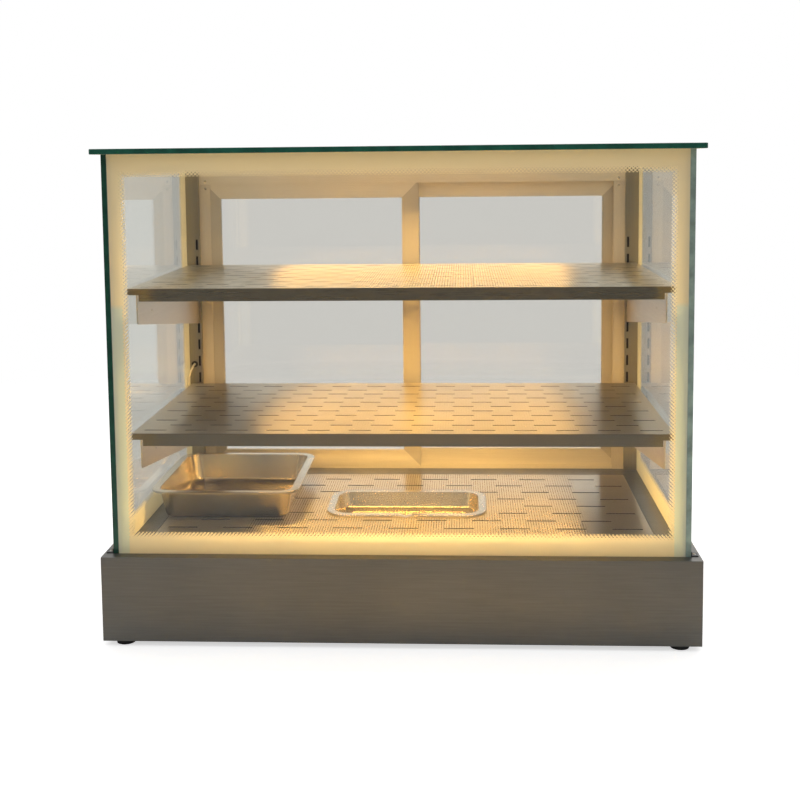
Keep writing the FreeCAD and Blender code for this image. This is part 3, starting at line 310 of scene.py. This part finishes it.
def polished(name, colour, painted_dark_wall=None):
    """Pressed and polished sheet with faint scratches and dull patches.

    The last argument gives how far back and how high the outer front wall reaches, which is painted darker,
    most towards its foot, as a painted dark reflection."""
    s = Shader(name)
    place = s.place()
    cloud = s.noise(place, 16.0, 4.0)
    scratches = s.grooves(place, 0, SCRATCHES, 2.0)
    base = s.clouded(cloud, scaled(colour, 0.94), colour)
    rough = s.math("ADD", s.spread(cloud, *CLOUD_RANGE, 0.19, 0.26), s.spread(scratches, 0.5, 0.8, 0.0, 0.02))
    if painted_dark_wall:
        back, high = painted_dark_wall
        y, z = s.split(place)[1:]
        forward = s.math("LESS_THAN", s.normal(1), -0.3)
        # painted dark reflection: the outer front wall is darkened, more towards its foot
        wall = s.math("MULTIPLY", forward, s.math("LESS_THAN", y, back))
        shade = s.spread(z, high - WALL_HEIGHT, high, WALL_PAINTED_SHADE, 0.5 * WALL_PAINTED_SHADE)
        base = s.tint(s.math("MULTIPLY", wall, shade), base, WALL_PAINTED_TONE)
    return s.finish(s.principled(Base_Color=base, Metallic=1.0, Roughness=rough))


def satin(name, colour, along, shaded_beyond=None):
    """Anodised profile: a soft sheen over a pale skin, drawn along one axis.

    shaded_beyond is how far out from the middle its front face lies closed in behind an upright; there the
    face is painted near-black as shade."""
    s = Shader(name)
    place = s.place()
    grain = s.grooves(place, along, SATIN_GRAIN, 3.0, 0.6)
    cloud = s.noise(place, 6.0)
    base = s.clouded(cloud, scaled(colour, 0.92), colour)
    base = s.tint(s.spread(grain, 0.3, 0.8, 0.0, 0.2), base, scaled(colour, 0.6))
    rough = s.spread(grain, 0.2, 0.8, 0.42, 0.54)
    if shaded_beyond:
        beyond = s.math("GREATER_THAN", s.math("ABSOLUTE", s.split(place)[0]), shaded_beyond)
        forward = s.math("LESS_THAN", s.normal(1), -0.5)
        # painted shade: the front face behind the upright is painted near-black
        base = s.tint(s.math("MULTIPLY", beyond, forward), base, PAINTED_SHADE_COLOUR)
    return s.finish(s.principled(Base_Color=base, Metallic=0.55, Roughness=rough,
                                 Normal=s.bump(grain, 0.000006)))


def plain_metal(name, colour, roughness):
    s = Shader(name)
    place = s.place()
    grain = s.noise(place, 600.0)
    cloud = s.noise(place, 12.0)
    base = s.clouded(cloud, scaled(colour, 0.9), colour)
    rough = s.spread(grain, 0.3, 0.7, roughness * 0.85, roughness * 1.15)
    return s.finish(s.principled(Base_Color=base, Metallic=1.0, Roughness=rough,
                                 Normal=s.bump(grain, 0.00001)))


def spangled(name):
    """Galvanised sheet with its crystal pattern."""
    s = Shader(name)
    cells = s.add("TexVoronoi", {"Vector": s.place(), "Scale": 90.0}, feature="F1")
    tone = s.split(cells.outputs["Color"])[0]
    base = s.tint(tone, (0.42, 0.43, 0.44), (0.58, 0.59, 0.60))
    return s.finish(s.principled(Base_Color=base, Metallic=1.0,
                                 Roughness=s.spread(tone, 0.0, 1.0, 0.35, 0.55)))


def dial_plate(name, centre, colour):
    """Brushed plate with printed tick marks round the thermostat knob."""
    s = Shader(name)
    place = s.place()
    grain = s.grooves(place, 0, FINE_GRAIN, 4.0)
    x, _, z = s.split(place)
    dx, dz = s.math("SUBTRACT", x, centre[0]), s.math("SUBTRACT", z, centre[1])
    radius = s.math("SQRT", s.math("ADD", s.math("MULTIPLY", dx, dx), s.math("MULTIPLY", dz, dz)))
    turn = s.math("FRACT", s.math("MULTIPLY", s.math("ARCTAN2", dz, dx), DIAL_TICKS / math.tau))
    on_tick = s.math("GREATER_THAN", s.math("ABSOLUTE", s.math("SUBTRACT", turn, 0.5)), TICK_PHASE)
    in_ring = s.math("MULTIPLY", s.math("GREATER_THAN", radius, DIAL_RING[0]),
                     s.math("LESS_THAN", radius, DIAL_RING[1]))
    printed = s.math("MULTIPLY", on_tick, in_ring)
    base = s.tint(printed, s.clouded(grain, scaled(colour, 0.85), colour), INK)
    metal = s.math("SUBTRACT", 1.0, printed)
    return s.finish(s.principled(Base_Color=base, Metallic=metal, Roughness=0.34,
                                 Normal=s.bump(grain, 0.00001)))


# ---------------------------------------------------------------- plastics, rubber and the rest
def moulded(name, colour, roughness=0.45, grain=0.00002, scale=900.0, coat=0.0):
    s = Shader(name)
    place = s.place()
    pits = s.noise(place, scale, 2.0)
    cloud = s.noise(place, 20.0)
    base = s.clouded(cloud, scaled(colour, 0.85), colour)
    rough = s.spread(cloud, *CLOUD_RANGE, roughness * 0.9, roughness * 1.15)
    return s.finish(s.principled(Base_Color=base, Roughness=rough, Normal=s.bump(pits, grain),
                                 Coat_Weight=coat))


def glowing(name, colour, lit, strength):
    """A translucent coloured moulding with a lamp behind it."""
    s = Shader(name)
    base = s.clouded(s.noise(s.place(), 300.0, 2.0), scaled(colour, 0.85), colour)
    return s.finish(s.principled(Base_Color=base, Roughness=0.22, Emission_Color=rgba(lit),
                                 Emission_Strength=strength, Coat_Weight=0.3))


def mineral_wool(name):
    s = Shader(name)
    fibres = s.stretched_noise(s.place(), (60.0, 400.0, 900.0), 5.0, 0.7)
    base = s.tint(fibres, (0.50, 0.42, 0.22), (0.78, 0.70, 0.45))
    return s.finish(s.principled(Base_Color=base, Roughness=0.95, Normal=s.bump(fibres, 0.0008),
                                 Sheen_Weight=0.3))


# ---------------------------------------------------------------- glass
def clear_shader(s, clear_tint):
    """Clear glass that lets the lamps' light straight through."""
    glass = s.principled(Base_Color=rgba(clear_tint), Roughness=0.0, IOR=GLASS_IOR, Transmission_Weight=1.0)
    shadow = s.add("LightPath").outputs["Is Shadow Ray"]
    return s.mix(shadow, glass, s.clear(clear_tint))


def edge_shader(s, colour):
    """Polished edge, which shows the depth of the green glass."""
    base = s.tint(s.spread(s.noise(s.place(), 40.0, 4.0), 0.35, 0.65, 0.0, 1.0), scaled(colour, 0.6), colour)
    return s.principled(Base_Color=base, Roughness=0.15, Specular_IOR_Level=0.5)


def print_shader(s, cool_strips):
    """Cream ceramic print, which lets some light through, with a faint warm painted glow added as though lit
    from inside.

    cool_strips gives how far out and how high the strips lie that the warm lamps don't reach; there the print
    is given a cooler tone as painted light."""
    place = s.place()
    colour = s.tint(s.noise(place, 900.0, 2.0), *PRINT_TONES)
    if cool_strips:
        reach, level = cool_strips
        x, _, z = s.split(place)
        outer = s.math("GREATER_THAN", s.math("ABSOLUTE", x), reach)
        lower = s.spread(z, level - COOL_BLEND, level + COOL_BLEND, 1.0, 0.0)
        # painted light: the outer lower strips of the print are tinted cooler
        colour = s.tint(s.math("MULTIPLY", outer, lower), colour, PRINT_COOL_LIGHT)
    facing = s.add("BsdfDiffuse", {"Color": colour}).outputs[0]
    through = s.add("BsdfTranslucent", {"Color": colour}).outputs[0]
    # painted glow: a faint warm emission on the print, which is no lamp
    glow = s.add("Emission", {"Color": rgba(PAINTED_GLOW_COLOUR), "Strength": PAINTED_PRINT_GLOW}).outputs[0]
    return s.add("AddShader", {0: s.mix(0.5, facing, through), 1: glow}).outputs[0]


def halftone(s, depth, u, v):
    """1 on the solid print, a chequer of dots over the fade, 0 beyond.

    depth is how far past the solid print's edge, in metres."""
    turn = math.pi / DOT_PITCH
    wave = s.math("MULTIPLY", s.math("SINE", s.math("MULTIPLY", u, turn)),
                  s.math("SINE", s.math("MULTIPLY", v, turn)))
    dots = s.math("GREATER_THAN", wave, s.spread(depth, 0.0, FADE, *DOT_LIMITS))
    dots = s.math("MULTIPLY", dots, s.math("LESS_THAN", depth, FADE))
    return s.math("MAXIMUM", dots, s.math("LESS_THAN", depth, 0.0))


def pane(name, axis, clear_tint, edge_colour, window=None, cool_strips=None):
    """Sheet glass whose thickness lies along one axis.

    window gives the clear part inside the print: two axes and their ranges."""
    s = Shader(name)
    shader = clear_shader(s, clear_tint)
    if window:
        coords = s.split(s.place())
        (a, a0, a1), (b, b0, b1) = window
        depth = s.math("MINIMUM", s.inside(coords[a], a0, a1), s.inside(coords[b], b0, b1))
        printed = halftone(s, depth, coords[a], coords[b])
        shader = s.mix(printed, shader, print_shader(s, cool_strips))
    on_edge = s.math("LESS_THAN", s.math("ABSOLUTE", s.normal(axis)), 0.9)
    return s.finish(s.mix(on_edge, shader, edge_shader(s, edge_colour)))


# ---------------------------------------------------------------- places read from the frame
glass_low, glass_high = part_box("front_glass")
side_low, side_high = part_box("right_glass")
top_low, top_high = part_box("top_glass")
knob_low, knob_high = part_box("thermostat_knob")
food_low, food_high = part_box("food_pan")
upright_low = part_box("right_upright")[0]
shelf_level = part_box("upper_shelf")[0].z
knob_centre = ((knob_low.x + knob_high.x) / 2, (knob_low.z + knob_high.z) / 2)
border_x = glass_high.x - FRONT_BORDER_SIDE

front_window = ((0, -border_x, border_x), (2, glass_low.z + BORDER, glass_high.z - BORDER))
side_window = ((1, side_low.y + BORDER, side_high.y - SIDE_BORDER_REAR),
               (2, side_low.z + SIDE_BORDER_LOW, side_high.z - BORDER))
top_window = ((0, top_low.x + TOP_BORDER_SIDE, top_high.x - TOP_BORDER_SIDE),
              (1, top_low.y + TOP_BORDER_FRONT, top_high.y - TOP_BORDER_REAR))

# ---------------------------------------------------------------- a material for every node of the frame
slotted_sheet = dict(along=0, anisotropy=1.0, depth=0.000003, blotch=0.05, worn=0.02)
FINISHES = (
    (pane("front_pane", 1, CLEAR, GREEN_DARK, front_window, (border_x, shelf_level)), ["front_glass"]),
    (pane("left_pane", 0, CLEAR, GREEN_DARK, side_window), ["left_glass"]),
    # The right pane is the same glass as the left; its edge's paler green is painted light, for the light
    # that edge catches.
    (pane("right_pane", 0, CLEAR, GREEN_PALE, side_window), ["right_glass"]),
    (pane("top_pane", 2, CLEAR, GREEN_TOP, top_window), ["top_glass"]),
    (pane("door_pane", 1, DOOR_CLEAR, GREEN_PALE), ["left_door_glass", "right_door_glass"]),
    (brushed("base_steel", (0.195, 0.190, 0.174), 0, 0.36, 0.75, 0.00003, 0.08, 0.05, 0.22),
     ["base_front_panel", "base_left_panel", "base_right_panel", "base_rear_panel"]),
    (brushed("deck_steel", (0.60, 0.55, 0.47), roughness=0.30, lines=0.04, slotted=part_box("deck_plate"),
             **slotted_sheet), ["deck_plate"]),
    (brushed("upper_shelf_steel", (0.54, 0.49, 0.41), roughness=0.28, lines=0.035,
             slotted=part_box("upper_shelf"), **slotted_sheet), ["upper_shelf"]),
    (brushed("lower_shelf_steel", (0.56, 0.51, 0.43), roughness=0.34, lines=0.05,
             slotted=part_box("lower_shelf"), **slotted_sheet), ["lower_shelf"]),
    (brushed("bracket_steel", (0.70, 0.64, 0.56), 1, 0.42, 0.4, 0.00001, 0.05),
     ["upper_left_bracket", "upper_right_bracket", "lower_left_bracket", "lower_right_bracket"]),
    (brushed("upright_steel", (0.40, 0.37, 0.31), 2, 0.36, 0.5, 0.00001, 0.06),
     ["left_upright", "right_upright"]),
    # The jambs, door stiles, rails, header, sill and light channels are one anodised aluminium given three
    # tones: the rails and header lightest, the jambs next, the stiles darkest; the lighter tones are painted
    # light.
    (satin("satin_jamb", (0.83, 0.76, 0.64), 2, upright_low.x + UPRIGHT_WALL), ["left_jamb", "right_jamb"]),
    (satin("satin_aluminium", (0.68, 0.63, 0.53), 2), ["left_door_stiles", "right_door_stiles"]),
    (satin("satin_rail", (0.95, 0.88, 0.74), 0),
     ["door_header", "door_sill", "left_door_rails", "right_door_rails", "light_channels"]),
    (polished("pan_steel", PAN_STEEL), ["water_pan"]),
    (polished("food_pan_steel", PAN_STEEL, (food_low.y + WALL_DEPTH, food_high.z - WALL_RIM)), ["food_pan"]),
    (spangled("galvanised_sheet"), ["base_bottom_plate", "heater_tray", "deck_ledges"]),
    (plain_metal("zinc_screw", (0.55, 0.54, 0.50), 0.28), ["base_screws", "frame_screws"]),
    (plain_metal("element_sheath", (0.10, 0.085, 0.075), 0.5), ["heating_element"]),
    (plain_metal("clamp_steel", (0.5, 0.5, 0.5), 0.4), ["heater_clamps", "thermostat_bulb"]),
    (plain_metal("driver_case", (0.62, 0.63, 0.65), 0.45), ["led_driver"]),
    (dial_plate("control_face", knob_centre, (0.50, 0.47, 0.42)), ["control_plate"]),
    (moulded("black_rubber", (0.018, 0.018, 0.018), 0.75, 0.00006, 500.0), ["rubber_feet", "lead_grommets"]),
    (moulded("silicone_joint", (0.42, 0.44, 0.38), 0.35, 0.00002, 200.0), ["glass_joints"]),
    (moulded("dark_clip", (0.02, 0.02, 0.02), 0.4), ["pane_foot_clips"]),
    (moulded("nylon", (0.72, 0.71, 0.66), 0.5), ["left_door_glides", "right_door_glides", "terminal_block"]),
    (moulded("pull_plastic", (0.03, 0.03, 0.032), 0.42, 0.00003, 1200.0),
     ["left_door_pull", "right_door_pull"]),
    (moulded("black_moulding", (0.02, 0.02, 0.022), 0.38, 0.00003, 1400.0),
     ["thermostat_knob", "switch_housings", "cable_gland", "thermostat_body"]),
    (moulded("white_lead", (0.80, 0.76, 0.66), 0.35, 0.00001, 300.0, 0.2), ["light_leads"]),
    (moulded("led_board", (0.85, 0.83, 0.76), 0.5), ["light_strips"]),
    (mineral_wool("mineral_wool"), ["insulation_slab"]),
    (glowing("red_rocker", (0.55, 0.03, 0.02), (1.0, 0.08, 0.03), 0.6), ["heater_switch_rocker"]),
    (glowing("green_rocker", (0.03, 0.36, 0.08), (0.1, 1.0, 0.2), 0.4), ["light_switch_rocker"]),
    (glowing("amber_lens", (0.80, 0.32, 0.03), (1.0, 0.45, 0.08), 1.2), ["indicator_lamp"]),
)
for material, nodes in FINISHES:
    for node in nodes:
        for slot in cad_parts[node].material_slots:
            slot.material = material


# ---------------------------------------------------------------- light emitting diodes and lamps
def led_material():
    s = Shader("led_glow")
    material = s.finish(s.principled(Base_Color=rgba(LED_PHOSPHOR), Roughness=0.4,
                                     Emission_Color=rgba(LED_WARM),
                                     Emission_Strength=LED_GLOW))
    material.cycles.emission_sampling = "NONE"
    return material


def led_row(name, x0, x1, y, z, material):
    """A row of chips under a light strip."""
    mesh = bmesh.new()
    size = Matrix.Diagonal((*LED_SIZE, 1.0))
    for index in range(int((x1 - x0) / LED_PITCH)):
        place = Matrix.Translation((x0 + LED_PITCH * (index + 0.5), y, z - LED_SIZE[2] / 2))
        bmesh.ops.create_cube(mesh, size=1.0, matrix=place @ size)
    data = bpy.data.meshes.new(name)
    mesh.to_mesh(data)
    mesh.free()
    data.materials.append(material)
    piece = bpy.data.objects.new(name, data)
    bpy.context.scene.collection.objects.link(piece)
    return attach(piece, "case")


def area_lamp(name, at, turn, size, power, **settings):
    data = bpy.data.lights.new(name, "AREA")
    data.size = size
    data.energy = power
    for key, value in settings.items():
        setattr(data, key, value)
    lamp = bpy.data.objects.new(name, data)
    lamp.location = at
    lamp.rotation_euler = turn
    bpy.context.scene.collection.objects.link(lamp)


def case_lights():
    """LEDs and a lamp under the top pane and under each shelf."""
    channel_low, channel_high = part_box("light_channels")
    x0, x1 = channel_low.x + STRIP_INSET, channel_high.x - STRIP_INSET
    glow = led_material()
    levels = [("canopy", glass_high.z, channel_high.y - CHANNEL_HALF, CANOPY_BEAM)]
    for level in ("upper", "lower"):
        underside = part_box(level + "_shelf")[1].z - SHELF_SHEET
        levels.append((level, underside, channel_low.y + CHANNEL_HALF, SHELF_BEAM))
    for level, ceiling, y, (power, tilt, spread) in levels:
        led_row(level + "_leds", x0, x1, y, ceiling - LED_DROP, glow)
        area_lamp(level + "_lamp", ((x0 + x1) / 2, y, ceiling - LAMP_DROP), (math.radians(tilt), 0, 0),
                  x1 - x0,
                  power, shape="RECTANGLE", size_y=LAMP_DEPTH, color=LED_WARM, spread=math.radians(spread))


# ---------------------------------------------------------------- stage
def floor():
    """A pale floor that fades out round the case."""
    s = Shader("pale_floor")
    place = s.place()
    base = s.tint(s.noise(place, 3.0), *FLOOR_TONES)
    surface = s.principled(Base_Color=base, Roughness=0.6, Emission_Color=rgba(WHITE),
                           Emission_Strength=s.math("MULTIPLY", s.camera_ray(), FLOOR_GLOW))
    x, y = s.split(place)[:2]
    radius = s.math("SQRT", s.math("ADD", s.math("MULTIPLY", x, x), s.math("MULTIPLY", y, y)))
    fade = s.spread(radius, FLOOR_SOLID, FLOOR_REACH, 0.0, 1.0)
    data = bpy.data.meshes.new("floor")
    corners = [(across * FLOOR_REACH, back * FLOOR_REACH, 0)
               for across, back in ((-1, -1), (1, -1), (1, 1), (-1, 1))]
    data.from_pydata(corners, [], [(0, 1, 2, 3)])
    data.materials.append(s.finish(s.mix(fade, surface, s.clear(WHITE))))
    plane = bpy.data.objects.new("floor", data)
    bpy.context.scene.collection.objects.link(plane)


def room():
    """White studio. What lights the case is dimmer in front of it than above and behind."""
    world = bpy.data.worlds.new("studio")
    bpy.context.scene.world = world
    world.use_nodes = True
    n = Nodes(world.node_tree)
    way = n.split(n.add("TexCoord").outputs["Generated"])
    front_back = n.spread(way[1], -ROOM_TURN, ROOM_TURN, ROOM_FRONT, ROOM_BACK)
    level = n.math("ADD", front_back, n.spread(way[2], 0.0, 1.0, 0.0, ROOM_ABOVE))
    shown = n.spread(n.camera_ray(), 0.0, 1.0, level, 1.0)
    background = n.add("Background", {0: rgba(WHITE), 1: shown})
    n.add("OutputWorld", {0: background.outputs[0]})


def soft_lights():
    for name, at, size, power in SOFTBOXES:
        turn = (LAMP_TARGET - Vector(at)).to_track_quat("-Z", "Y").to_euler()
        area_lamp(name, at, turn, size, power)
    bpy.context.scene.view_settings.view_transform = "Standard"


def camera():
    data = bpy.data.cameras.new("camera")
    data.sensor_width = SENSOR
    data.lens = FOCAL_SHARE * SENSOR
    data.shift_y = SHIFT_Y
    yaw, pitch, roll = (math.radians(v) for v in (CAMERA_YAW, CAMERA_PITCH, CAMERA_ROLL))
    forward = Vector((-math.sin(yaw) * math.cos(pitch), math.cos(yaw) * math.cos(pitch), math.sin(pitch)))
    level = Vector((math.cos(yaw), math.sin(yaw), 0))
    upward = level.cross(forward)
    right = level * math.cos(roll) + upward * math.sin(roll)
    up = upward * math.cos(roll) - level * math.sin(roll)
    turn = Matrix((right, up, -forward)).transposed().to_4x4()
    cam = bpy.data.objects.new("camera", data)
    cam.matrix_world = Matrix.Translation(CAMERA_AT) @ turn
    bpy.context.scene.collection.objects.link(cam)
    bpy.context.scene.camera = cam


case_lights()
floor()
room()
soft_lights()
camera()
